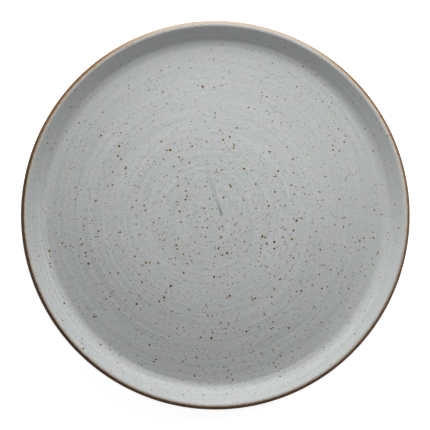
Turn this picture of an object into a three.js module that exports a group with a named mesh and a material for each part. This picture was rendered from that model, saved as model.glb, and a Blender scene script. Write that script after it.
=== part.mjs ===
// A round stoneware pizza plate: one pressed clay body with a low sloping wall, a rounded lip and a
// foot ring, and the fired coats that cover it. The clay shows only where the foot ring is left bare.
//
// Millimetres, +Z up. The origin is on the plate's axis, on the surface that the foot ring stands on.
import * as THREE from "three";

// Finished sizes of the whole plate
const PLATE_DIAMETER = 330;
const PLATE_HEIGHT = 25;

// The wall, and the lip that rounds off its top
const WALL_SLOPE = 47.7; // degrees above the horizontal
const WALL_THICKNESS = 5.2;
const COVE_RADIUS = 9.5; // where the floor turns up into the wall
const HEEL_RADIUS = 16; // where the underside turns up into the outside of the wall

// The floor, whose flat middle stands a little above a ring that falls towards the wall
const FLOOR_THICKNESS = 6;
const CROWN_RISE = 2.5;
const CROWN_RADIUS = 1300; // the soft turn from the flat middle into the fall
const FALL_WIDTH = 59; // from that turn out to the wall

// The foot ring, measured where it meets the table
const FOOT_INSET = 47; // in from the plate's edge
const FOOT_WIDTH = 6;
const FOOT_HEIGHT = 3;
const FOOT_DRAFT = 1; // each side leans out by this much on its way up
const FOOT_FILLET = 1.5;
const FOOT_EDGE_RADIUS = 0.8;

// The fired coats
const GLAZE_THICKNESS = 0.4;
const BAND_WIDTH = 3; // brown band as seen from above
const BAND_DEPTH = 6.5; // brown band as seen from the side
const BARE_FOOT_HEIGHT = 1.2; // the glaze is wiped off the foot ring up to here

// Facets round the plate, and steps in each rounded corner
const FACETS = 60;
const FOOT_STEPS = 2;
const HEEL_STEPS = 4;
const LIP_SIDE_STEPS = 3;
const LIP_TOP_STEPS = 5;
const COVE_STEPS = 4;
const CROWN_STEPS = 4;

const SAME_POINT = 1e-6;

// Finishes of the bare clay and of the two kinds of coat
const CLAY = { color: 0xc9b79c, roughness: 0.85, metalness: 0 };
const GREY_GLAZE = { color: 0xacafad, roughness: 0.45, metalness: 0 };
const BROWN_GLAZE = { color: 0x5a3d24, roughness: 0.4, metalness: 0 };

// One corner of the half section: radius from the axis, height, and how it is rounded.
function corner(r, z, radius = 0, steps = 0) {
  return { at: new THREE.Vector2(r, z), radius, steps };
}

// Corners of the clay's half section, from the axis under the plate, round the lip, to the axis above.
function clayCorners() {
  const recess = FOOT_HEIGHT + CROWN_RISE;
  const floor = FOOT_HEIGHT + FLOOR_THICKNESS;
  const crown = floor + CROWN_RISE;
  const top = PLATE_HEIGHT - GLAZE_THICKNESS;
  const edge = PLATE_DIAMETER / 2 - GLAZE_THICKNESS;
  const footOuter = PLATE_DIAMETER / 2 - FOOT_INSET;
  const footInner = footOuter - FOOT_WIDTH;

  // The wall is a leaning slab. The lip is the half round between its two faces, as high as the clay's
  // top and as wide as its edge.
  const slope = THREE.MathUtils.degToRad(WALL_SLOPE);
  const lip = WALL_THICKNESS / 2;
  const lipCentre = new THREE.Vector2(edge - lip, top - lip);
  const acrossWall = new THREE.Vector2(Math.sin(slope), -Math.cos(slope)).multiplyScalar(lip);
  const outerFace = lipCentre.clone().add(acrossWall);
  const innerFace = lipCentre.clone().sub(acrossWall);
  const radiusOn = (face, z) => face.x + (z - face.y) / Math.tan(slope);
  const heightOn = (face, r) => face.y + (r - face.x) * Math.tan(slope);
  const wallFoot = radiusOn(innerFace, floor);

  return [
    corner(0, recess),
    corner(footInner - FOOT_DRAFT, recess, FOOT_FILLET, FOOT_STEPS),
    corner(footInner, 0, FOOT_EDGE_RADIUS, FOOT_STEPS),
    corner(footOuter, 0, FOOT_EDGE_RADIUS, FOOT_STEPS),
    corner(footOuter + FOOT_DRAFT, FOOT_HEIGHT, FOOT_FILLET, FOOT_STEPS),
    corner(radiusOn(outerFace, FOOT_HEIGHT), FOOT_HEIGHT, HEEL_RADIUS, HEEL_STEPS),
    corner(edge, heightOn(outerFace, edge), lip, LIP_SIDE_STEPS),
    corner(edge, top, lip, LIP_TOP_STEPS),
    corner(radiusOn(innerFace, top), top, lip, LIP_SIDE_STEPS),
    corner(wallFoot, floor, COVE_RADIUS, COVE_STEPS),
    corner(wallFoot - FALL_WIDTH, crown, CROWN_RADIUS, CROWN_STEPS),
    corner(0, crown),
  ];
}

// The outline through the corners as points that know their outward normal. It runs with the clay on
// its left. Two roundings that are too long for the edge between them shrink until they fit on it.
function roundedOutline(corners) {
  const last = corners.length - 1;
  const edges = corners.slice(1).map(({ at }, i) => at.clone().sub(corners[i].at));
  const turnAt = (i) => Math.atan2(edges[i - 1].cross(edges[i]), edges[i - 1].dot(edges[i]));
  const turns = corners.map((_, i) => (i > 0 && i < last ? turnAt(i) : 0));
  const tangents = turns.map((turn) => Math.tan(Math.abs(turn) / 2));
  const reaches = corners.map(({ radius }, i) => radius * tangents[i]);
  const fits = edges.map((edge, i) => Math.min(1, edge.length() / (reaches[i] + reaches[i + 1])));

  const outline = [{ at: corners[0].at, normal: new THREE.Vector2(0, -1) }];
  for (let i = 1; i < last; i++) {
    const { at, steps } = corners[i];
    const heading = edges[i - 1].angle();
    const reach = reaches[i] * Math.min(fits[i - 1], fits[i]);
    const bend = (Math.sign(turns[i]) * reach) / tangents[i];
    const outward = (angle) => new THREE.Vector2(Math.sin(angle), -Math.cos(angle));
    const start = at.clone().addScaledVector(edges[i - 1].clone().normalize(), -reach);
    const centre = start.clone().addScaledVector(outward(heading), -bend);
    for (let step = 0; step <= steps; step++) {
      const normal = outward(heading + (turns[i] * step) / steps);
      const point = centre.clone().addScaledVector(normal, bend);
      if (point.distanceTo(outline.at(-1).at) > SAME_POINT) outline.push({ at: point, normal });
    }
  }
  outline.push({ at: corners[last].at, normal: new THREE.Vector2(0, 1) });
  return outline;
}

// Where the outline first passes a radius ("x") or a height ("y") after a given point: the place in the
// list of the point there, which is added if no point is there yet.
function cutAt(outline, axis, value, after) {
  for (let i = after; i + 1 < outline.length; i++) {
    const from = outline[i];
    const to = outline[i + 1];
    const share = (value - from.at[axis]) / (to.at[axis] - from.at[axis]);
    if (!(share > 0 && share <= 1)) continue;
    if (from.at.distanceTo(to.at) * (1 - share) < SAME_POINT) return i + 1;
    const at = from.at.clone().lerp(to.at, share);
    const normal = from.normal.clone().lerp(to.normal, share).normalize();
    outline.splice(i + 1, 0, { at, normal });
    return i + 1;
  }
  throw new Error(`the section never passes ${axis} = ${value}`);
}

// The clay body, turned about the axis from its half section.
function turnedClay(outline) {
  return new THREE.LatheGeometry(outline.map(({ at }) => at), FACETS);
}

// A coat of glaze on a stretch of the outline. Its half section is taken the other way round and its
// faces are then turned over, so that its triangles against the clay are the clay's own.
function turnedCoat(stretch) {
  const inside = stretch.map(({ at }) => at);
  const outside = stretch.map(({ at, normal }) => at.clone().addScaledVector(normal, GLAZE_THICKNESS));
  outside.reverse();
  let section = [...inside, ...outside, inside[0]];
  if (inside[0].x === 0) section = [...inside, ...outside];
  if (inside.at(-1).x === 0) section = [...outside, ...inside];
  const coat = new THREE.LatheGeometry(section, FACETS);
  coat.index.array.reverse();
  coat.computeVertexNormals();
  return coat;
}

const outline = roundedOutline(clayCorners());

// The lines where one coat stops, in their order along the outline
const recessLine = cutAt(outline, "y", BARE_FOOT_HEIGHT, 0);
const footLine = cutAt(outline, "y", BARE_FOOT_HEIGHT, recessLine + 1);
const bandLower = cutAt(outline, "y", PLATE_HEIGHT - BAND_DEPTH, footLine + 1);
const widest = outline.reduce((best, { at }, i) => (at.x > outline[best].at.x ? i : best), 0);
const bandInner = cutAt(outline, "x", PLATE_DIAMETER / 2 - BAND_WIDTH, widest);
const coatOn = (from, to) => turnedCoat(outline.slice(from, to + 1));

const pieces = [
  ["stoneware_body", turnedClay(outline), CLAY],
  ["base_glaze", coatOn(0, recessLine), GREY_GLAZE],
  ["underside_glaze", coatOn(footLine, bandLower), GREY_GLAZE],
  ["rim_band", coatOn(bandLower, bandInner), BROWN_GLAZE],
  ["upper_glaze", coatOn(bandInner, outline.length - 1), GREY_GLAZE],
];

const plate = new THREE.Group();
plate.name = "pizza_plate";
for (const [name, geometry, finish] of pieces) {
  const piece = new THREE.Mesh(geometry, new THREE.MeshStandardMaterial(finish));
  piece.name = name;
  piece.rotation.x = Math.PI / 2; // a lathe turns about Y, and the plate's axis is Z
  plate.add(piece);
}

export default plate;
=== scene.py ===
# %% [markdown]
# A stoneware pizza plate with a speckled grey glaze and a brown lip.
#
# The construction model comes in first as a fixed frame: the clay core and its four coats of glaze, at
# their real size. Everything after this cell dresses that frame. The plate is turned, so one half
# section spun about the Z axis gives every piece, and most of the work is in the glaze.

# %% Load the frame
import math

import bmesh
import bpy
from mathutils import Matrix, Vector, noise


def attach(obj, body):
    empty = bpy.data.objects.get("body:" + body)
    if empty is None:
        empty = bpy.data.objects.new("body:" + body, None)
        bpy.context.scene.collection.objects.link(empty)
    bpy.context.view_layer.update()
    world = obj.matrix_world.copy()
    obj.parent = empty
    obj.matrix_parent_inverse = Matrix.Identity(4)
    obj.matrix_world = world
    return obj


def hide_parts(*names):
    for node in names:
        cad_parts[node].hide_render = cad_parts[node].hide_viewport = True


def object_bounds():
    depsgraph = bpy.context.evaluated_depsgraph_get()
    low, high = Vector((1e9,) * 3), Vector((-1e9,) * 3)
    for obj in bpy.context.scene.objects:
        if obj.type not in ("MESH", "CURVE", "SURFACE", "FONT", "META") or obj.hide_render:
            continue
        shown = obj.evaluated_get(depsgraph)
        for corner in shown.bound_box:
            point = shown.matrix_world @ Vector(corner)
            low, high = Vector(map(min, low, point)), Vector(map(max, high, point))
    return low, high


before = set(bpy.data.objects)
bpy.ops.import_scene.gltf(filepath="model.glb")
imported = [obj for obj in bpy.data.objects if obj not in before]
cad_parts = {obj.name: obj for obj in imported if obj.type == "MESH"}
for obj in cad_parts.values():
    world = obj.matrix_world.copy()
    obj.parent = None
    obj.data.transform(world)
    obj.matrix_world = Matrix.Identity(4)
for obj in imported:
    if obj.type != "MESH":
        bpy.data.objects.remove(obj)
cad_low, cad_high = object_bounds()
MM = 0.001
print("frame box in mm:", [round(side / MM, 2) for side in cad_high - cad_low])

# %% [markdown]
# The half section is drawn with a few corners, in millimetres, as a potter would draw a template. Each
# corner has a radius that rounds it. The plate's width and height are read from the frame. The other
# sizes are the ones that the construction model was drawn with. The crown is the flat middle of the
# floor, the fall is the ring that slopes down from it, the cove is the inner corner at the foot of the
# wall, and the heel is the outer one.
#
# Glaze lies on the clay like paint on a wall, so the finished outline is the clay's outline moved out by
# the thickness of the coat. One function draws both: with a coat of nothing it gives the bare clay.

# %% Sizes of the plate
PLATE_RADIUS = cad_high.x / MM
PLATE_HEIGHT = cad_high.z / MM
WALL_SLOPE = math.radians(47.7)
WALL_THICKNESS = 5.2
COVE_RADIUS = 9.5
HEEL_RADIUS = 16.0
FLOOR_THICKNESS = 6.0
CROWN_RISE = 2.5
CROWN_RADIUS = 1300.0
FALL_WIDTH = 59.0
FOOT_INSET = 47.0
FOOT_WIDTH = 6.0
FOOT_HEIGHT = 3.0
FOOT_DRAFT = 1.0
FOOT_FILLET = 1.5
FOOT_EDGE_RADIUS = 0.8
GLAZE_THICKNESS = 0.4
BAND_DEPTH = 6.5
BARE_FOOT_HEIGHT = 1.2
print("plate is", round(2 * PLATE_RADIUS, 1), "mm wide and", round(PLATE_HEIGHT, 1), "mm high")


# %% Draw the half section
def section_corners(coat):
    """Corners of the half section under a coat of glaze, as name: (radius, height, rounding)."""
    floor = FOOT_HEIGHT + FLOOR_THICKNESS + coat
    crown = floor + CROWN_RISE
    under = FOOT_HEIGHT - coat
    recess = FOOT_HEIGHT + CROWN_RISE - coat
    lip = WALL_THICKNESS / 2 + coat
    edge = PLATE_RADIUS - GLAZE_THICKNESS + coat
    top = PLATE_HEIGHT - GLAZE_THICKNESS + coat
    across_wall = Vector((math.sin(WALL_SLOPE), -math.cos(WALL_SLOPE))) * lip
    outer_face = Vector((edge - lip, top - lip)) + across_wall
    inner_face = Vector((edge - lip, top - lip)) - across_wall

    def radius_on(face, height):
        return face.x + (height - face.y) / math.tan(WALL_SLOPE)

    def height_on(face, radius):
        return face.y + (radius - face.x) * math.tan(WALL_SLOPE)

    wall_foot = radius_on(inner_face, floor)
    band_lower = PLATE_HEIGHT - BAND_DEPTH
    foot_outer = PLATE_RADIUS - FOOT_INSET + coat
    foot_inner = PLATE_RADIUS - FOOT_INSET - FOOT_WIDTH - coat
    foot_lean = FOOT_DRAFT * BARE_FOOT_HEIGHT / FOOT_HEIGHT
    return {
        "floor_centre": (0.0, crown, 0.0),
        "crown_edge": (wall_foot - FALL_WIDTH, crown, CROWN_RADIUS),
        "wall_foot": (wall_foot, floor, COVE_RADIUS - coat),
        "lip_inner": (radius_on(inner_face, top), top, lip),
        "crest": (edge - lip, top, 0.0),
        "lip_top": (edge, top, lip),
        "lip_outer": (edge, height_on(outer_face, edge), lip),
        "band_lower": (radius_on(outer_face, band_lower), band_lower, 0.0),
        "heel": (radius_on(outer_face, under), under, HEEL_RADIUS + coat),
        "foot_corner": (foot_outer + FOOT_DRAFT, under, FOOT_FILLET - coat),
        "foot_line": (foot_outer + foot_lean, BARE_FOOT_HEIGHT, 0.0),
        "foot_outer": (foot_outer, 0.0, FOOT_EDGE_RADIUS),
        "foot_inner": (foot_inner, 0.0, FOOT_EDGE_RADIUS),
        "recess_line": (foot_inner - foot_lean, BARE_FOOT_HEIGHT, 0.0),
        "recess_corner": (foot_inner - FOOT_DRAFT, recess, FOOT_FILLET - coat),
        "under_centre": (0.0, recess, 0.0),
    }


CLAY = section_corners(0.0)
GLAZED = section_corners(GLAZE_THICKNESS)
print("glazed floor is", round(2 * GLAZED["wall_foot"][0], 1), "mm wide at the foot of the wall")

# %% [markdown]
# The photograph looks straight down on the plate, so the camera hangs above its centre. It hangs high
# and has a long lens, as a product photographer would choose, which keeps the wall as wide on one side
# as on the other. The lens is worked out so that the plate fills as much of the frame as it does in the
# photograph.

# %% Hang the camera
PHOTO_SIDE_PX = 430
PHOTO_PLATE_RADIUS_PX = 194.65
PHOTO_PLATE_CENTRE_PX = (215.33, 215.12)
CAMERA_HEIGHT = 6.0
SENSOR_WIDTH = 36.0

metres_per_px = PLATE_RADIUS * MM / PHOTO_PLATE_RADIUS_PX
camera_data = bpy.data.cameras.new("overhead_camera")
camera_data.sensor_width = SENSOR_WIDTH
camera_data.lens = SENSOR_WIDTH * CAMERA_HEIGHT / (PHOTO_SIDE_PX * metres_per_px)
camera = bpy.data.objects.new("overhead_camera", camera_data)
camera.location = (
    (PHOTO_SIDE_PX / 2 - PHOTO_PLATE_CENTRE_PX[0]) * metres_per_px,
    (PHOTO_PLATE_CENTRE_PX[1] - PHOTO_SIDE_PX / 2) * metres_per_px,
    PLATE_HEIGHT * MM + CAMERA_HEIGHT,
)
bpy.context.scene.collection.objects.link(camera)
bpy.context.scene.camera = camera
print("lens:", round(camera_data.lens, 1), "mm")

# %% [markdown]
# The shading in the photograph tells where its light was. The wall nearest the bottom of the picture is
# the brightest and the wall at the top is the darkest, and the floor fades from the top downwards. So two
# soft lights stand behind the plate, one near and one far and low, like a window and the sky beyond it. A
# pale wall far to the left and a small light on the right fill the shadows. Their levels are plain: a
# surface renders about as its colour is written.

# %% Set the lights
AIM = Vector((0.0, 0.0, 0.01))
LIGHTS = (
    {"name": "near_window", "place": Vector((0.0, 0.45, 0.40)), "size": (0.5, 0.4), "watts": 3.4},
    {"name": "far_window", "place": Vector((0.0, 1.40, 0.45)), "size": (0.8, 0.6), "watts": 12.5},
    {"name": "left_wall", "place": Vector((-2.0, 0.0, 0.80)), "size": (2.4, 1.4), "watts": 12.6},
    {"name": "right_fill", "place": Vector((0.45, 0.15, 0.35)), "size": (0.4, 0.4), "watts": 1.1},
)


def soft_light(name, place, size, watts):
    """A broad light that faces the plate."""
    data = bpy.data.lights.new(name, "AREA")
    data.shape = "RECTANGLE"
    data.size, data.size_y = size
    data.energy = watts
    light = bpy.data.objects.new(name, data)
    light.location = place
    light.rotation_euler = (AIM - place).to_track_quat("-Z", "Y").to_euler()
    bpy.context.scene.collection.objects.link(light)
    print(name, "stands", round((place - AIM).length, 2), "m from the plate")


for light in LIGHTS:
    soft_light(**light)
bpy.context.scene.view_settings.view_transform = "Standard"

# %% [markdown]
# A material is a tree of nodes. Writing each node and link by hand would bury the recipe, so these small
# helpers name the few steps that a glaze needs: sums, soft steps, colour mixes and cloudy noise. Most of
# them take either a plain number or another node's output.


# %% Helpers for sums
def add(tree, kind, **settings):
    """A new node of a kind, with its own settings."""
    node = tree.nodes.new(kind)
    for name, value in settings.items():
        setattr(node, name, value)
    return node


def feed(tree, socket, value):
    """Gives a socket a plain value, or links another node's output to it."""
    if isinstance(value, bpy.types.NodeSocket):
        tree.links.new(value, socket)
    else:
        socket.default_value = value


def sums(tree, operation, first, second=0.0, third=0.0):
    """One step of arithmetic on numbers."""
    node = add(tree, "ShaderNodeMath", operation=operation)
    for socket, value in zip(node.inputs, (first, second, third)):
        feed(tree, socket, value)
    return node.outputs["Value"]


def vectors(tree, operation, first, second=(0.0, 0.0, 0.0)):
    """One step of arithmetic on vectors."""
    node = add(tree, "ShaderNodeVectorMath", operation=operation)
    feed(tree, node.inputs[0], first)
    feed(tree, node.inputs[1], second)
    return node.outputs["Value" if operation in ("LENGTH", "DOT_PRODUCT") else "Vector"]


def scaled(tree, vector, factor):
    """A vector made longer or shorter."""
    node = add(tree, "ShaderNodeVectorMath", operation="SCALE")
    feed(tree, node.inputs["Vector"], vector)
    feed(tree, node.inputs["Scale"], factor)
    return node.outputs["Vector"]


def soft_step(tree, value, start, end):
    """0 before start and 1 after end, with a soft rise between. The two may stand in either order."""
    node = add(tree, "ShaderNodeMapRange", interpolation_type="SMOOTHSTEP")
    for socket, given in zip(node.inputs, (value, start, end)):
        feed(tree, socket, given)
    return node.outputs["Result"]


# %% Helpers for colour, noise and bumps
NOISE_MIDDLE = (0.5, 0.5, 0.5)


def blend(tree, share, under, over):
    """One colour over another, by a share from 0 to 1."""
    node = add(tree, "ShaderNodeMix", data_type="RGBA")
    colours = [socket for socket in node.inputs if socket.type == "RGBA"]
    feed(tree, node.inputs["Factor"], share)
    feed(tree, colours[0], under)
    feed(tree, colours[1], over)
    return next(socket for socket in node.outputs if socket.type == "RGBA")


def noise_texture(tree, place, size, detail, roughness=0.5):
    """A cloudy texture in patches of a size."""
    node = add(tree, "ShaderNodeTexNoise")
    feed(tree, node.inputs["Vector"], place)
    node.inputs["Scale"].default_value = 1 / size
    node.inputs["Detail"].default_value = detail
    node.inputs["Roughness"].default_value = roughness
    return node.outputs


def clouds(tree, place, size, detail=2.0):
    """Cloudy noise from 0 to 1, about a half on average, in patches of a size."""
    return noise_texture(tree, place, size, detail)["Fac"]


def wandering(tree, texture, reach):
    """A cloudy texture's three colours as a vector that wanders about zero."""
    return scaled(tree, vectors(tree, "SUBTRACT", texture["Color"], NOISE_MIDDLE), reach)


def bump(tree, height, depth, below=None):
    """A bumpy normal: a height from 0 to 1 stands for a depth in millimetres, on top of another bump."""
    node = add(tree, "ShaderNodeBump")
    node.inputs["Distance"].default_value = depth * MM
    feed(tree, node.inputs["Height"], height)
    if below is not None:
        feed(tree, node.inputs["Normal"], below)
    return node.outputs["Normal"]


def new_recipe(name):
    """An empty material: itself, its tree and its shader."""
    material = bpy.data.materials.new(name)
    material.use_nodes = True
    tree = material.node_tree
    return material, tree, tree.nodes["Principled BSDF"]


# %% [markdown]
# The plate stands on a plain white floor. White paper under studio light is brighter than a camera can
# hold, so the floor glows a little for the camera, and the rays that a shiny or a clear surface sends out
# see that glow too, so the satin glaze mirrors a white room. For light that scatters it is ordinary pale
# paper. A share of real paper stays in what the camera sees, so the plate keeps its shadow. The sky does
# the same: it is white to the camera and in mirrors, and a faint grey light for the rest.

# %% Lay the floor
FLOOR_SIDE = 6.0
PAPER = (0.8, 0.8, 0.8, 1.0)
PAPER_FIBRES = (0.78, 0.78, 0.78, 1.0)
FIBRE_SIZE = 4.0
PAPER_ROUGHNESS = 0.9
PAPER_GLOW = 0.88


def seen_share(tree):
    """1 for the camera's rays and for those of shiny and clear surfaces, 0 for all other rays."""
    path = add(tree, "ShaderNodeLightPath").outputs
    mirrored = sums(tree, "MAXIMUM", path["Is Glossy Ray"], path["Is Transmission Ray"])
    return sums(tree, "MAXIMUM", path["Is Camera Ray"], mirrored)


paper, tree, shader = new_recipe("paper_floor")
fibres = clouds(tree, add(tree, "ShaderNodeTexCoord").outputs["Object"], FIBRE_SIZE * MM)
feed(tree, shader.inputs["Base Color"], blend(tree, fibres, PAPER, PAPER_FIBRES))
shader.inputs["Roughness"].default_value = PAPER_ROUGHNESS
glow = add(tree, "ShaderNodeEmission")
feed(tree, glow.inputs["Strength"], sums(tree, "MULTIPLY", seen_share(tree), PAPER_GLOW))
glowing_paper = add(tree, "ShaderNodeAddShader")
tree.links.new(shader.outputs["BSDF"], glowing_paper.inputs[0])
tree.links.new(glow.outputs["Emission"], glowing_paper.inputs[1])
tree.links.new(glowing_paper.outputs["Shader"], tree.nodes["Material Output"].inputs["Surface"])

bm = bmesh.new()
bmesh.ops.create_grid(bm, x_segments=1, y_segments=1, size=FLOOR_SIDE / 2)
floor_mesh = bpy.data.meshes.new("paper_floor")
bm.to_mesh(floor_mesh)
bm.free()
floor_mesh.materials.append(paper)
floor = bpy.data.objects.new("paper_floor", floor_mesh)
bpy.context.scene.collection.objects.link(floor)
print("floor is", FLOOR_SIDE, "m wide")

# %% Hang the sky
WHITE = (1.0, 1.0, 1.0, 1.0)
SKY_STRENGTH = 0.02

world = bpy.data.worlds.new("studio_sky")
world.use_nodes = True
bpy.context.scene.world = world
tree = world.node_tree
sky = tree.nodes["Background"]
sky.inputs["Color"].default_value = WHITE
sky_strength = sums(tree, "MULTIPLY_ADD", seen_share(tree), 1 - SKY_STRENGTH, SKY_STRENGTH)
feed(tree, sky.inputs["Strength"], sky_strength)
print("sky lights the plate with", SKY_STRENGTH, "of its white")

# %% [markdown]
# A turned piece is made the way a wheel makes it. A few vertices at the section's corners are joined by
# edges, a vertex bevel rounds each corner, and a spin about the axis turns the line into a surface. A
# Screw modifier could do the same, but the bmesh operator leaves a finished mesh. The vertices where the
# line meets the axis pile up in the spin, so they are merged, and the faces are then made to point out.

# %% Draw a rounded line
SAME_POINT = 1e-6


def turn_angle(before, at, after):
    """The angle by which a line turns at a corner."""
    arriving = Vector(at[:2]) - Vector(before[:2])
    leaving = Vector(after[:2]) - Vector(at[:2])
    return arriving.angle(leaving)


def walk_line(bm, corner):
    """The vertices of a line in their order, from the one at a corner."""
    start = Vector((corner[0] * MM, 0, corner[1] * MM))
    walked = [min(bm.verts, key=lambda vert: (vert.co - start).length)]
    ahead = walked[0].link_edges[:]
    while ahead:
        walked.append(ahead[0].other_vert(walked[-1]))
        ahead = [edge for edge in walked[-1].link_edges if edge != ahead[0]]
    return walked


def draw_line(bm, corners, arc_steps, longest_edge):
    """Draws a rounded line through corners, with no edge over a length, and returns its vertices."""
    verts = [bm.verts.new((r * MM, 0, z * MM)) for r, z, _ in corners]
    for one, other in zip(verts, verts[1:]):
        bm.edges.new((one, other))
    for vert, before, at, after in zip(verts[1:-1], corners, corners[1:], corners[2:]):
        reach = at[2] * math.tan(turn_angle(before, at, after) / 2)
        if reach > 0:
            bmesh.ops.bevel(
                bm, geom=[vert], offset=reach * MM, offset_type="OFFSET", affect="VERTICES",
                segments=arc_steps, profile=0.5, material=-1,
            )
    bmesh.ops.remove_doubles(bm, verts=bm.verts[:], dist=SAME_POINT)
    for edge in bm.edges[:]:
        cuts = math.floor(edge.calc_length() / MM / longest_edge)
        if cuts:
            bmesh.ops.subdivide_edges(bm, edges=[edge], cuts=cuts)
    return walk_line(bm, corners[0])


# %% Spin it into a piece
TURN_STEPS = 256
SHARP_ANGLE = math.radians(40)


def spin_round(bm):
    """Turns the lines about the axis into a closed surface whose faces point out."""
    bmesh.ops.spin(
        bm, geom=bm.verts[:] + bm.edges[:], cent=(0, 0, 0), axis=(0, 0, 1), dvec=(0, 0, 0),
        angle=2 * math.pi, steps=TURN_STEPS, use_merge=True, use_duplicate=False,
    )
    bmesh.ops.remove_doubles(bm, verts=bm.verts[:], dist=SAME_POINT)
    bmesh.ops.recalc_face_normals(bm, faces=bm.faces[:])


def finished_piece(bm, name):
    """The object of a finished bmesh, smooth but for its sharp edges."""
    for face in bm.faces:
        face.smooth = True
    for edge in bm.edges:
        edge.smooth = edge.calc_face_angle() < SHARP_ANGLE
    open_edges = sum(not edge.is_manifold for edge in bm.edges)
    volume = bm.calc_volume(signed=True) / MM**3
    mesh = bpy.data.meshes.new(name)
    bm.to_mesh(mesh)
    bm.free()
    mesh.calc_loop_triangles()
    piece = bpy.data.objects.new(name, mesh)
    bpy.context.scene.collection.objects.link(piece)
    print(name, len(mesh.loop_triangles), "triangles,", open_edges, "open edges,", round(volume), "mm3")
    return piece


# %% [markdown]
# The clay core is the whole section in one turn, from the middle of the floor over the lip to the middle
# of the underside. It shows only at the foot ring, which is wiped clean of glaze so that the plate
# doesn't stick to the kiln shelf.

# %% Turn the clay
CLAY_LINE = (
    "floor_centre", "crown_edge", "wall_foot", "lip_inner", "lip_top", "lip_outer",
    "heel", "foot_corner", "foot_outer", "foot_inner", "recess_corner", "under_centre",
)
CLAY_ARC_STEPS = 6
CLAY_LONGEST_EDGE = 15.0

bm = bmesh.new()
draw_line(bm, [CLAY[name] for name in CLAY_LINE], CLAY_ARC_STEPS, CLAY_LONGEST_EDGE)
spin_round(bm)
clay_body = finished_piece(bm, "clay_body")

# %% [markdown]
# A coat of glaze is a thin closed shell. A Solidify modifier could thicken a part of the clay's skin, but
# its edges would not end where the coats meet. So the half section of a coat is the finished line and,
# under it, the clay's line, joined at their ends. Spinning both at once gives a shell that sits on the
# clay all over.
#
# Each vertex of the finished line also remembers how far along the line it lies, in millimetres from the
# plate's axis, as a measuring tape laid on the glaze would read. The recipes read that distance, so the
# specks stay round on the sloping wall and the colour can change at the lip. The vertices on the clay
# have a distance below zero, which tells them apart.

# %% Turn a coat
RUN = "run"
ON_CLAY = -1.0


def turn_coat(line, first_run, arc_steps, longest_edge):
    """The bmesh of a coat along a line of corners, and the distance where its line stops."""
    bm = bmesh.new()
    layer = bm.verts.layers.float.new(RUN)
    outer = draw_line(bm, [GLAZED[name] for name in line], arc_steps, longest_edge)
    outer[0][layer] = first_run
    for one, other in zip(outer, outer[1:]):
        other[layer] = one[layer] + (other.co - one.co).length / MM
    last_run = outer[-1][layer]
    ends = [outer[0].co.copy(), outer[-1].co.copy()]
    inner = draw_line(bm, [CLAY[name] for name in line], CLAY_ARC_STEPS, CLAY_LONGEST_EDGE)
    for vert in inner:
        vert[layer] = ON_CLAY
    for end, under in zip(ends, (inner[0], inner[-1])):
        over = min(bm.verts, key=lambda vert: (vert.co - end).length)
        if end.x > SAME_POINT:
            bm.edges.new((over, under))
    spin_round(bm)
    return bm, last_run


# %% [markdown]
# The inside coat carries the marks of its making. The plate turned while it was shaped and glazed, so
# faint rings run round the floor, and they come and go as the hand pressed more or less. They are only
# some hundredths of a millimetre deep, but low light shows them. They are small moves of the vertices,
# by noise that changes quickly outwards and slowly around.

# %% Turn the inside coat
INSIDE_LINE = ("floor_centre", "crown_edge", "wall_foot", "lip_inner", "crest")
INSIDE_ARC_STEPS = 12
INSIDE_LONGEST_EDGE = 1.2
RING_WIDTH = 4.5
RING_DEPTH = 0.014
RING_LENGTH = 0.9


def ring_relief(run, vert):
    """How far the rings lift the glaze at a vertex, in millimetres."""
    around = vert.co.xy.normalized() * RING_LENGTH
    broad = noise.noise((around.x, around.y, run / RING_WIDTH / 2))
    narrow = noise.noise((around.y, around.x, run / RING_WIDTH))
    return RING_DEPTH * (broad + narrow / 2)


bm, crest_run = turn_coat(INSIDE_LINE, 0.0, INSIDE_ARC_STEPS, INSIDE_LONGEST_EDGE)
layer = bm.verts.layers.float[RUN]
for vert in bm.verts:
    if 0 < vert[layer] < crest_run:
        vert.co.z += ring_relief(vert[layer], vert) * MM
inside_glaze = finished_piece(bm, "inside_glaze")
print("the lip's crest lies", round(crest_run, 1), "mm from the middle")

# %% [markdown]
# The other three coats are turned in the same way. The brown lip starts at the crest, where the inside
# coat stops. The outside coat runs from the foot ring up to the brown lip, and the base coat covers the
# disc inside the foot ring.

# %% Turn the other coats
COAT_ARC_STEPS = 8
COAT_LONGEST_EDGE = 3.0
LIP_LINE = ("crest", "lip_top", "lip_outer", "band_lower")
OUTSIDE_LINE = ("foot_line", "foot_corner", "heel", "band_lower")
BASE_LINE = ("under_centre", "recess_corner", "recess_line")

bm, lip_end_run = turn_coat(LIP_LINE, crest_run, COAT_ARC_STEPS, COAT_LONGEST_EDGE)
brown_lip = finished_piece(bm, "brown_lip")
bm, _ = turn_coat(OUTSIDE_LINE, GLAZED["foot_line"][0], COAT_ARC_STEPS, COAT_LONGEST_EDGE)
outside_glaze = finished_piece(bm, "outside_glaze")
bm, _ = turn_coat(BASE_LINE, 0.0, COAT_ARC_STEPS, COAT_LONGEST_EDGE)
base_glaze = finished_piece(bm, "base_glaze")

# %% [markdown]
# Every pattern in the glaze is laid out on an unrolled plate: the direction from the middle, times the
# distance along the section. On the floor that is simply the place in millimetres. On the wall it keeps
# the true distances, so a speck there isn't squeezed.


# %% Where a point lies
def glaze_place(tree):
    """Where a point lies on the unrolled glaze, in millimetres, and its distance along the section."""
    coordinates = add(tree, "ShaderNodeTexCoord").outputs["Object"]
    flat = vectors(tree, "MULTIPLY", coordinates, (1.0, 1.0, 0.0))
    run = add(tree, "ShaderNodeAttribute", attribute_name=RUN).outputs["Fac"]
    return scaled(tree, vectors(tree, "NORMALIZE", flat), run), run


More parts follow.
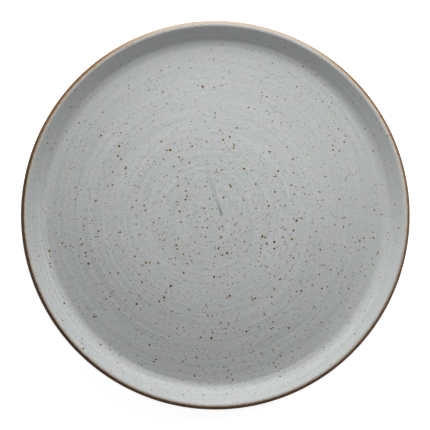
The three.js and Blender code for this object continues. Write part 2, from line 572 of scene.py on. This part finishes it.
# %% [markdown]
# Iron specks bleed through the glaze in the kiln. Beads laid on the plate would stand proud of it, and
# these are melted in, so they are part of the recipe. A Voronoi texture gives one point to each cell and a
# random colour with it. One channel of the colour is a random number, and what is left of it after a large
# multiplication is another.
#
# The specks crowd below the middle of the floor and thin out towards the far edge, with slow clouds on
# top of that.

# %% Scattered points
SECOND_SHUFFLE = 61.0
THIRD_SHUFFLE = 977.0


def speck_cells(tree, place, spacing):
    """The distance to the nearest of some scattered points, in millimetres, and three random numbers."""
    cells = add(tree, "ShaderNodeTexVoronoi", voronoi_dimensions="2D")
    feed(tree, cells.inputs["Vector"], place)
    cells.inputs["Scale"].default_value = 1 / spacing
    split = add(tree, "ShaderNodeSeparateColor")
    feed(tree, split.inputs["Color"], cells.outputs["Color"])
    first = split.outputs["Blue"]
    second = sums(tree, "FRACT", sums(tree, "MULTIPLY", first, SECOND_SHUFFLE))
    third = sums(tree, "FRACT", sums(tree, "MULTIPLY", first, THIRD_SHUFFLE))
    return sums(tree, "MULTIPLY", cells.outputs["Distance"], spacing), first, second, third


# %% Where the specks crowd
CROWD_CENTRE = (-10.0, -30.0, 0.0)
CROWD_NEAR = 40.0
CROWD_FAR = 190.0
CROWD_PATCH_SIZE = 45.0
CROWD_PATCH_RISE = (0.3, 0.7)
CROWD_PATCH_SHARE = 0.45


def crowding(tree, place):
    """How closely the specks lie at a place, from 0 to 1."""
    away = vectors(tree, "LENGTH", vectors(tree, "SUBTRACT", place, CROWD_CENTRE))
    near = soft_step(tree, away, CROWD_FAR, CROWD_NEAR)
    patches = soft_step(tree, clouds(tree, place, CROWD_PATCH_SIZE), *CROWD_PATCH_RISE)
    return sums(tree, "MULTIPLY_ADD", sums(tree, "SUBTRACT", patches, near), CROWD_PATCH_SHARE, near)


# %% [markdown]
# A layer has one kind of speck. The logarithm of a random number gives many small specks and few large
# ones. Fine specks are grey or rusty. Large ones are brown or ember, and a warm tan stain rings them.

# %% One layer of specks
SPECK_LARGEST = 1.9
SPECK_EDGE = 0.10
LARGE_FROM = 0.66
LARGE_TO = 1.2
STAIN_REACH = 2.0
RUST_FROM = 0.6
RUST_TO = 0.9
SPECK_GREY = (0.042, 0.042, 0.041, 1.0)
SPECK_RUST = (0.125, 0.085, 0.05, 1.0)
SPECK_BROWN = (0.042, 0.023, 0.011, 1.0)
SPECK_EMBER = (0.105, 0.052, 0.017, 1.0)
STAIN_TAN = (0.430, 0.372, 0.290, 1.0)


def speck_share(tree, radius, distance):
    """1 inside a speck and 0 outside it, with a soft edge."""
    return soft_step(tree, sums(tree, "SUBTRACT", radius, distance), -SPECK_EDGE, SPECK_EDGE)


def add_layer(tree, colour, place, sparse, swell, spacing, smallest, growth, lost):
    """A colour with one layer of specks, of which a share is lost."""
    distance, size_chance, kept_chance, rust_chance = speck_cells(tree, place, spacing)
    rarity = sums(tree, "LOGARITHM", size_chance, math.e)
    radius = sums(tree, "MULTIPLY_ADD", rarity, -growth / 2, smallest / 2)
    radius = sums(tree, "MINIMUM", sums(tree, "MULTIPLY", radius, swell), SPECK_LARGEST / 2)
    large = soft_step(tree, radius, LARGE_FROM / 2, LARGE_TO / 2)
    kept = sums(tree, "GREATER_THAN", kept_chance, sums(tree, "ADD", sparse, lost))
    ring = soft_step(tree, sums(tree, "DIVIDE", distance, radius), STAIN_REACH, 1.0)
    stain = sums(tree, "MULTIPLY", sums(tree, "MULTIPLY", ring, large), kept)
    speck = sums(tree, "MULTIPLY", speck_share(tree, radius, distance), kept)
    rust = soft_step(tree, rust_chance, RUST_FROM, RUST_TO)
    fine = blend(tree, rust, SPECK_GREY, SPECK_RUST)
    iron = blend(tree, large, fine, blend(tree, rust, SPECK_BROWN, SPECK_EMBER))
    return blend(tree, speck, blend(tree, stain, colour, STAIN_TAN), iron)


# %% [markdown]
# Two layers hold the fine specks and a third holds the large ones. A pepper that the eye can hardly tell
# apart lies under them. Noise bends the places a little, so no speck is a perfect disc. Where the specks
# are sparse they are smaller too.

# %% All the specks
SPECK_LAYERS = (
    {"spacing": 4.9, "smallest": 0.31, "growth": 0.25, "lost": 0.0},
    {"spacing": 4.6, "smallest": 0.31, "growth": 0.25, "lost": 0.0},
    {"spacing": 25.0, "smallest": 1.15, "growth": 0.37, "lost": 0.32},
)
LAYER_SHIFT = Vector((37.0, 11.0, 0.0))
PEPPER_SPACING = 2.2
PEPPER_SIZE = 0.36
RAGGED_REACH = 0.35
RAGGED_BENDS_PER_MM = 1.4
RAGGED_DETAIL = 2.0
SPARSE_SHARE = 0.45
SWELL_LEAST = 0.66
SWELL_RANGE = 0.55


def add_specks(tree, colour, place, thinning):
    """A colour with its specks. A thinning from 0 to 1 takes that share of them away."""
    crowd = crowding(tree, place)
    lost_far_out = sums(tree, "MULTIPLY_ADD", crowd, -SPARSE_SHARE, SPARSE_SHARE)
    sparse = sums(tree, "MAXIMUM", thinning, lost_far_out)
    swell = sums(tree, "MULTIPLY_ADD", crowd, SWELL_RANGE, SWELL_LEAST)
    ragged = noise_texture(tree, place, 1 / RAGGED_BENDS_PER_MM, RAGGED_DETAIL)
    place = vectors(tree, "ADD", place, wandering(tree, ragged, RAGGED_REACH))
    distance, chance, _, _ = speck_cells(tree, place, PEPPER_SPACING)
    radius = sums(tree, "MULTIPLY", chance, PEPPER_SIZE / 2)
    colour = blend(tree, speck_share(tree, radius, distance), colour, SPECK_GREY)
    for number, layer in enumerate(SPECK_LAYERS):
        shifted = vectors(tree, "ADD", place, LAYER_SHIFT * number)
        colour = add_layer(tree, colour, shifted, sparse, swell, **layer)
    return colour


print(len(SPECK_LAYERS), "layers of specks up to", SPECK_LARGEST, "mm wide")

# %% [markdown]
# The glaze itself was brushed on while the plate turned. The brush's centre was a little off the plate's,
# so its streaks are arcs that drift outwards. Where the brush was lifted it left one stroke near the
# middle, dark and blunt where it pressed last and broad and faint where it began. The stroke is a dark
# core in a longer pale veil, and a short dash lies beside it.

# %% Brush marks
BRUSH_CENTRE = (-6.0, 0.0, 0.0)
STROKE_GREY = (0.150, 0.158, 0.164, 1.0)
STROKES = (
    {
        "end": Vector((6.8, 0.2)), "start": Vector((2.7, 12.5)),
        "width": 2.6, "taper": 0.9, "strength": 0.68,
    },
    {
        "end": Vector((5.9, 1.3)), "start": Vector((-9.7, 54.0)),
        "width": 2.9, "taper": 1.5, "strength": 0.28,
    },
    {
        "end": Vector((17.9, -6.3)), "start": Vector((13.2, -10.2)),
        "width": 1.7, "taper": -0.75, "strength": 1.0,
    },
)
CRISP_EDGE = (-0.05, 0.1)
FEATHERED_EDGE = (1.0, 0.2)
BLUNT_END = (-0.03, 0.02)
FADING_START = (1.0, 0.3)


def brush_arcs(tree, place, width):
    """Noise in long thin arcs of a width round the brush's centre."""
    from_centre = vectors(tree, "SUBTRACT", place, BRUSH_CENTRE)
    outwards = add(tree, "ShaderNodeCombineXYZ")
    reach = sums(tree, "MULTIPLY", vectors(tree, "LENGTH", from_centre), 1 / width)
    feed(tree, outwards.inputs["Z"], reach)
    around = vectors(tree, "NORMALIZE", from_centre)
    return clouds(tree, vectors(tree, "ADD", around, outwards.outputs["Vector"]), 1.0, 1.0)


def brush_stroke(tree, place, end, start, width, taper, strength):
    """The share of a stroke that fades from its end to its start, with one crisp edge and one soft."""
    along = start - end
    frame_of_stroke = add(tree, "ShaderNodeMapping", vector_type="TEXTURE")
    feed(tree, frame_of_stroke.inputs["Vector"], place)
    frame_of_stroke.inputs["Location"].default_value = (end.x, end.y, 0.0)
    frame_of_stroke.inputs["Rotation"].default_value = (0.0, 0.0, math.atan2(along.y, along.x))
    frame_of_stroke.inputs["Scale"].default_value = (along.length, width, 1.0)
    split = add(tree, "ShaderNodeSeparateXYZ")
    feed(tree, split.inputs["Vector"], frame_of_stroke.outputs["Vector"])
    length_share = split.outputs["X"]
    side = sums(tree, "DIVIDE", split.outputs["Y"], sums(tree, "MULTIPLY_ADD", length_share, taper, 1.0))
    crisp = soft_step(tree, side, *CRISP_EDGE)
    feathered = soft_step(tree, side, *FEATHERED_EDGE)
    blunt = soft_step(tree, length_share, *BLUNT_END)
    fading = soft_step(tree, length_share, *FADING_START)
    across = sums(tree, "MULTIPLY", sums(tree, "MULTIPLY", crisp, feathered), strength)
    return sums(tree, "MULTIPLY", across, sums(tree, "MULTIPLY", blunt, fading))


print("strokes are", [round((mark["end"] - mark["start"]).length, 1) for mark in STROKES], "mm long")

# %% [markdown]
# At the lip the glaze runs thin and breaks from grey through tan to the brown of the iron band. The line
# wanders, because glaze never runs evenly. The lip was dipped a little off level, so the brown starts
# further out on one side, and it lies thicker and darker on another. On the far side, towards the lights,
# the crest and the top of the lip are painted pale: a painted highlight with less tan and brown. The
# band's lower edge fades into the grey. The inside coat and the brown lip use the same rule, so their
# colours meet at the crest.

# %% How the glaze breaks at the lip
TAN_START = crest_run - 1.4
TAN_END = crest_run + 1.2
BROWN_START = crest_run + 0.18
BROWN_END = crest_run + 1.23
LOWER_START = lip_end_run - 2.0
LOWER_END = lip_end_run - 0.7
BREAK_SIZE = 4.0
BREAK_WANDER = 1.2
THIN_SIDE = Vector((0.94, 0.35, 0.0))
DIP_TILT = 0.45
THICK_SIDE = Vector((-0.95, -0.3, 0.0))
THICK_RISE = (0.6, 1.0)
MOTTLE_SIZE = 3.0
MOTTLE_RISE = (0.35, 0.65)
MOTTLE_SHARE = 0.3
# Painted highlight: towards the lights, the crest and the top of the lip stay paler, with less tan and
# brown.
PAINTED_HIGHLIGHT_SIDE = Vector((0.05, 1.0, 0.0))
PAINTED_HIGHLIGHT_RISE = (0.7, 1.0)
PAINTED_HIGHLIGHT_START = crest_run + 3.0
PAINTED_HIGHLIGHT_END = crest_run + 5.5
PAINTED_HIGHLIGHT_TAN_CUT = 0.38
PAINTED_HIGHLIGHT_BROWN_CUT = 0.75
LIP_TAN = (0.38, 0.27, 0.17, 1.0)
LIP_BROWN = (0.162, 0.084, 0.036, 1.0)
LIP_DARK = (0.058, 0.029, 0.011, 1.0)


def towards(tree, place, side):
    """How far round towards a side a place on the lip lies, from -1 to 1."""
    return vectors(tree, "DOT_PRODUCT", place, side / crest_run)


def band_share(tree, line, start, end, covered, painted_highlight, highlight_strength):
    """The share of a band that starts along a line, stops at its lower edge and gives way by a share to
    the painted highlight.
    """
    share = sums(tree, "MULTIPLY", soft_step(tree, line, start, end), covered)
    return sums(tree, "MULTIPLY", share, sums(tree, "MULTIPLY_ADD", painted_highlight, -highlight_strength, 1.0))


def broken_lip(tree, colour, place, run):
    """A colour that turns to tan and then brown over the lip, paler under a painted highlight towards the
    lights, and the share of brown.
    """
    wander = sums(tree, "SUBTRACT", clouds(tree, place, BREAK_SIZE), 0.5)
    line = sums(tree, "MULTIPLY_ADD", wander, BREAK_WANDER, run)
    line = sums(tree, "MULTIPLY_ADD", towards(tree, place, THIN_SIDE), -DIP_TILT, line)
    thick = soft_step(tree, towards(tree, place, THICK_SIDE), *THICK_RISE)
    mottle = soft_step(tree, clouds(tree, place, MOTTLE_SIZE), *MOTTLE_RISE)
    dark = sums(tree, "MINIMUM", sums(tree, "MULTIPLY_ADD", mottle, MOTTLE_SHARE, thick), 1.0)
    brown = blend(tree, dark, LIP_BROWN, LIP_DARK)
    # Painted highlight: paler towards the lights, on the crest and the top of the lip only.
    painted_highlight = soft_step(tree, towards(tree, place, PAINTED_HIGHLIGHT_SIDE), *PAINTED_HIGHLIGHT_RISE)
    painted_highlight = sums(tree, "MULTIPLY", painted_highlight, soft_step(tree, run, PAINTED_HIGHLIGHT_END, PAINTED_HIGHLIGHT_START))
    covered = soft_step(tree, line, LOWER_END, LOWER_START)
    tan_share = band_share(tree, line, TAN_START, TAN_END, covered, painted_highlight, PAINTED_HIGHLIGHT_TAN_CUT)
    brown_share = band_share(tree, line, BROWN_START, BROWN_END, covered, painted_highlight, PAINTED_HIGHLIGHT_BROWN_CUT)
    colour = blend(tree, tan_share, colour, LIP_TAN)
    return blend(tree, brown_share, colour, brown), brown_share


print("the brown band is", round(LOWER_END - BROWN_START, 1), "mm wide along the glaze")

# %% [markdown]
# The tone of the glaze changes by a few hundredths from streak to streak. The streaks are stronger on the
# near left part, where the brush pressed harder. A ring on the outer part of the floor is a little darker:
# this is painted shade.

# %% How light the glaze is
ARC_WIDTHS = (1.4, 3.5)
GRAIN_SIZE = 3.0
NOISES_AVERAGE = 1.5
TONE_AVERAGE = 1.03
TONE_RANGE = 0.155
PRESSED_RANGE = 0.085
PRESSED_PLACE = (-40.0, -60.0, 0.0)
PRESSED_NEAR = 110.0
PRESSED_FAR = 190.0
SHADE_RING_START = 60.0
SHADE_RING_DEEPEST = 131.0
SHADE_RING_END = 150.0
PAINTED_RING_SHADE = 0.09


def glaze_tone(tree, place, run, arcs):
    """How light the glaze is at a place, about 1 on average, with a ring of painted shade on the outer
    floor.
    """
    noises = sums(tree, "ADD", sums(tree, "ADD", *arcs), clouds(tree, place, GRAIN_SIZE))
    away = vectors(tree, "LENGTH", vectors(tree, "SUBTRACT", place, PRESSED_PLACE))
    pressed = soft_step(tree, away, PRESSED_FAR, PRESSED_NEAR)
    tone_range = sums(tree, "MULTIPLY_ADD", pressed, PRESSED_RANGE, TONE_RANGE)
    change = sums(tree, "SUBTRACT", noises, NOISES_AVERAGE)
    tone = sums(tree, "MULTIPLY_ADD", change, tone_range, TONE_AVERAGE)
    # Painted shade: a ring on the outer part of the floor is darkened a little.
    before = soft_step(tree, run, SHADE_RING_START, SHADE_RING_DEEPEST)
    after = soft_step(tree, run, SHADE_RING_END, SHADE_RING_DEEPEST)
    return sums(tree, "MULTIPLY_ADD", sums(tree, "MULTIPLY", before, after), -PAINTED_RING_SHADE, tone)


# %% [markdown]
# One function mixes the whole glaze. A single grey gets a slight cloudy tint and the tone of the brush
# arcs, and then come the strokes, the specks and the lip. Its skin is satin, with the faint pits that
# glazers call orange peel. The specks thin out up the wall and lie thinly on the underside.

# %% Mix the glaze
GLAZE_GREY = (0.408, 0.4215, 0.4155)
TINT_SIZE = 10.0
TINT_DETAIL = 4.0
TINT_ROUGHNESS = 0.75
TINT_RANGE = 0.15
THINNING_WIDTH = 10.0
THINNING_SHARE = 0.45
PEEL_SIZE = 2.6
PEEL_DEPTH = 0.010
ARC_DEPTH = 0.012
SATIN = 0.52
SATIN_RANGE = 0.12
SATIN_PATCH_SIZE = 12.0
BAND_GLOSS = 0.42
SATIN_SHINE = 0.22
LIP_SHINE = 0.16


def mix_glaze(name, shine, thinning_from, strokes, has_lip):
    """A glaze with a shine, whose specks thin out beyond a distance along the section."""
    material, tree, shader = new_recipe(name)
    place, run = glaze_place(tree)
    arcs = [brush_arcs(tree, place, width) for width in ARC_WIDTHS]
    tint = noise_texture(tree, place, TINT_SIZE, TINT_DETAIL, TINT_ROUGHNESS)
    tinted = vectors(tree, "ADD", wandering(tree, tint, TINT_RANGE), (1.0, 1.0, 1.0))
    colour = vectors(tree, "MULTIPLY", tinted, GLAZE_GREY)
    colour = scaled(tree, colour, glaze_tone(tree, place, run, arcs))
    for stroke in strokes:
        colour = blend(tree, brush_stroke(tree, place, **stroke), colour, STROKE_GREY)
    beyond = soft_step(tree, run, thinning_from, thinning_from + THINNING_WIDTH)
    colour = add_specks(tree, colour, place, sums(tree, "MULTIPLY", beyond, THINNING_SHARE))
    patches = clouds(tree, place, SATIN_PATCH_SIZE)
    satin = sums(tree, "MULTIPLY_ADD", patches, SATIN_RANGE, SATIN - SATIN_RANGE / 2)
    if has_lip:
        colour, brown_share = broken_lip(tree, colour, place, run)
        satin = sums(tree, "MULTIPLY_ADD", brown_share, BAND_GLOSS - SATIN, satin)
    feed(tree, shader.inputs["Base Color"], colour)
    feed(tree, shader.inputs["Roughness"], satin)
    shader.inputs["Specular IOR Level"].default_value = shine
    peel = bump(tree, clouds(tree, place, PEEL_SIZE, 1.0), PEEL_DEPTH)
    feed(tree, shader.inputs["Normal"], bump(tree, arcs[0], ARC_DEPTH, peel))
    return material


cove_run = GLAZED["wall_foot"][0]
inside_recipe = mix_glaze("speckled_grey_glaze", SATIN_SHINE, cove_run, STROKES, True)
lip_recipe = mix_glaze("brown_lip_glaze", LIP_SHINE, cove_run, (), True)
under_recipe = mix_glaze("plain_under_glaze", SATIN_SHINE, 0.0, (), False)
for recipe in (inside_recipe, lip_recipe, under_recipe):
    print(recipe.name, "has", len(recipe.node_tree.nodes), "nodes")

# %% [markdown]
# The bare foot ring is fired clay: buff, dry and a little sandy, toasted in patches by the kiln, with its
# own iron specks. A photograph of clay could be wrapped round it, but noise needs no file and has no seam.

# %% Fire the clay
CLAY_BUFF = (0.58, 0.47, 0.33, 1.0)
CLAY_TOASTED = (0.47, 0.34, 0.21, 1.0)
TOASTED_SIZE = 14.0
TOASTED_RISE = (0.3, 0.7)
SAND_SIZE = 0.7
SAND_DETAIL = 4.0
SAND_DEPTH = 0.06
GRIT_RISE = (0.62, 0.72)
CLAY_ROUGHNESS = 0.85

clay_recipe, tree, shader = new_recipe("fired_clay")
place = scaled(tree, add(tree, "ShaderNodeTexCoord").outputs["Object"], 1 / MM)
sand = clouds(tree, place, SAND_SIZE, SAND_DETAIL)
toasted = soft_step(tree, clouds(tree, place, TOASTED_SIZE), *TOASTED_RISE)
colour = blend(tree, toasted, CLAY_BUFF, CLAY_TOASTED)
colour = blend(tree, soft_step(tree, sand, *GRIT_RISE), colour, SPECK_BROWN)
feed(tree, shader.inputs["Base Color"], colour)
shader.inputs["Roughness"].default_value = CLAY_ROUGHNESS
feed(tree, shader.inputs["Normal"], bump(tree, sand, SAND_DEPTH))
print(clay_recipe.name, "has", len(tree.nodes), "nodes")

# %% [markdown]
# Last, each piece gets its material, rides on the frame's one body and takes the place of the node that
# it dresses.

# %% Put the pieces on the frame
PIECES = (
    (clay_body, clay_recipe, "stoneware_body", "stoneware"),
    (inside_glaze, inside_recipe, "upper_glaze", "grey_glaze"),
    (brown_lip, lip_recipe, "rim_band", "brown_glaze"),
    (outside_glaze, under_recipe, "underside_glaze", "grey_glaze"),
    (base_glaze, under_recipe, "base_glaze", "grey_glaze"),
)
for piece, recipe, node, slot in PIECES:
    piece.data.materials.append(recipe)
    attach(piece, "root")
    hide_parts(node)
    print(piece.name, "dresses", node)
